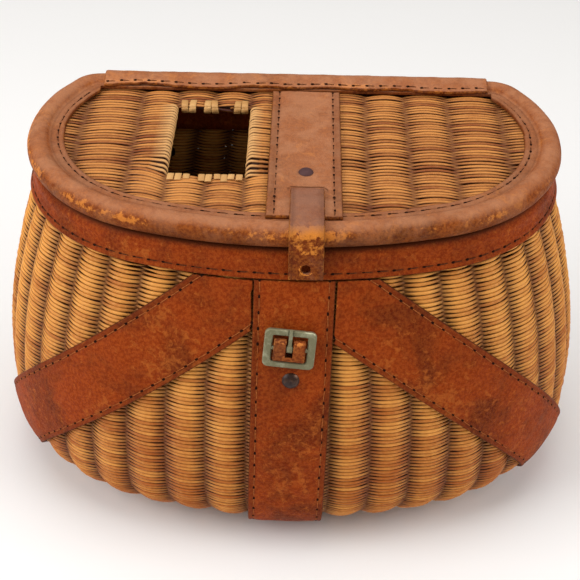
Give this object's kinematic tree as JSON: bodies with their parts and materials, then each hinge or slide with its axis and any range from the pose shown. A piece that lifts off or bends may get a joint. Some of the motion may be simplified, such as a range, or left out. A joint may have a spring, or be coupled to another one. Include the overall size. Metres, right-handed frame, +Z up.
{
  "type": "wicker fishing creel",
  "caption": "Bulging D-shaped woven creel with a leather harness and a flat woven lid that hinges along its straight back and closes with a strap and buckle.",
  "frame": {"origin": "middle of the face the creel stands on, under the middle of its bounding box in X and Y to within the size of the leather", "axes": "+X to the creel's right along its longest side, -Y is the front with the buckle, +Y is the straight back with the lid's hinge, +Z is up"},
  "size_m": [0.3736, 0.2233, 0.2286],
  "materials": {
    "willow": "split willow, weathered honey brown",
    "cane": "flat cane, pale straw",
    "harness_leather": "reddish brown, worn and mottled",
    "lid_leather": "dusty brown with worn orange spots",
    "strap_leather": "dark red-brown, worn orange over the rim",
    "nickel": "tarnished nickel plate",
    "rivet_metal": "dark browned brass"
  },
  "bodies": {
    "basket": {"woven_wall": "willow", "woven_base": "willow", "rim_hoop": "willow", "rim_band": "harness_leather", "front_panel": "harness_leather", "left_harness_strap": "harness_leather", "right_harness_strap": "harness_leather", "hinge_strip_body_leaf": "lid_leather", "left_belt_loop": "harness_leather", "right_belt_loop": "harness_leather", "belt_loop_rivets": "rivet_metal", "belt_loop_burrs": "rivet_metal", "buckle_chape": "strap_leather", "chape_rivet": "rivet_metal", "chape_rivet_burr": "rivet_metal"},
    "lid": {"lid_weave": "willow", "lid_hoop": "willow", "lid_binding": "lid_leather", "lid_center_panel": "lid_leather", "hinge_strip_lid_leaf": "lid_leather", "fish_hole_front_wrap": "cane", "fish_hole_back_wrap": "cane", "lid_rivet": "rivet_metal", "lid_rivet_burr": "rivet_metal", "strap_anchor": "strap_leather"},
    "closure_strap": {"closure_strap": "strap_leather"},
    "buckle_frame": {"buckle_frame": "nickel"},
    "buckle_tongue": {"buckle_tongue": "nickel"}
  },
  "joints": [
    {"name": "lid_hinge", "type": "hinge", "parent": "basket", "child": "lid", "pos_m": [0, 0.091, 0.21135], "axis": [-1, 0, 0], "range_deg": [0, 135]},
    {"name": "strap_lift", "type": "hinge", "parent": "lid", "child": "closure_strap", "pos_m": [0.0084, -0.08375, 0.22872], "axis": [-1, 0, 0], "range_deg": [0, 90]},
    {"name": "buckle_rock", "type": "hinge", "parent": "basket", "child": "buckle_frame", "pos_m": [0.0002, -0.10731, 0.15694], "axis": [0.9962, -0.0241, -0.0837], "range_deg": [-8, 8]},
    {"name": "tongue_swing", "type": "hinge", "parent": "buckle_frame", "child": "buckle_tongue", "pos_m": [0.0002, -0.10731, 0.15694], "axis": [0.9962, -0.0241, -0.0837], "range_deg": [0, 95]}
  ]
}
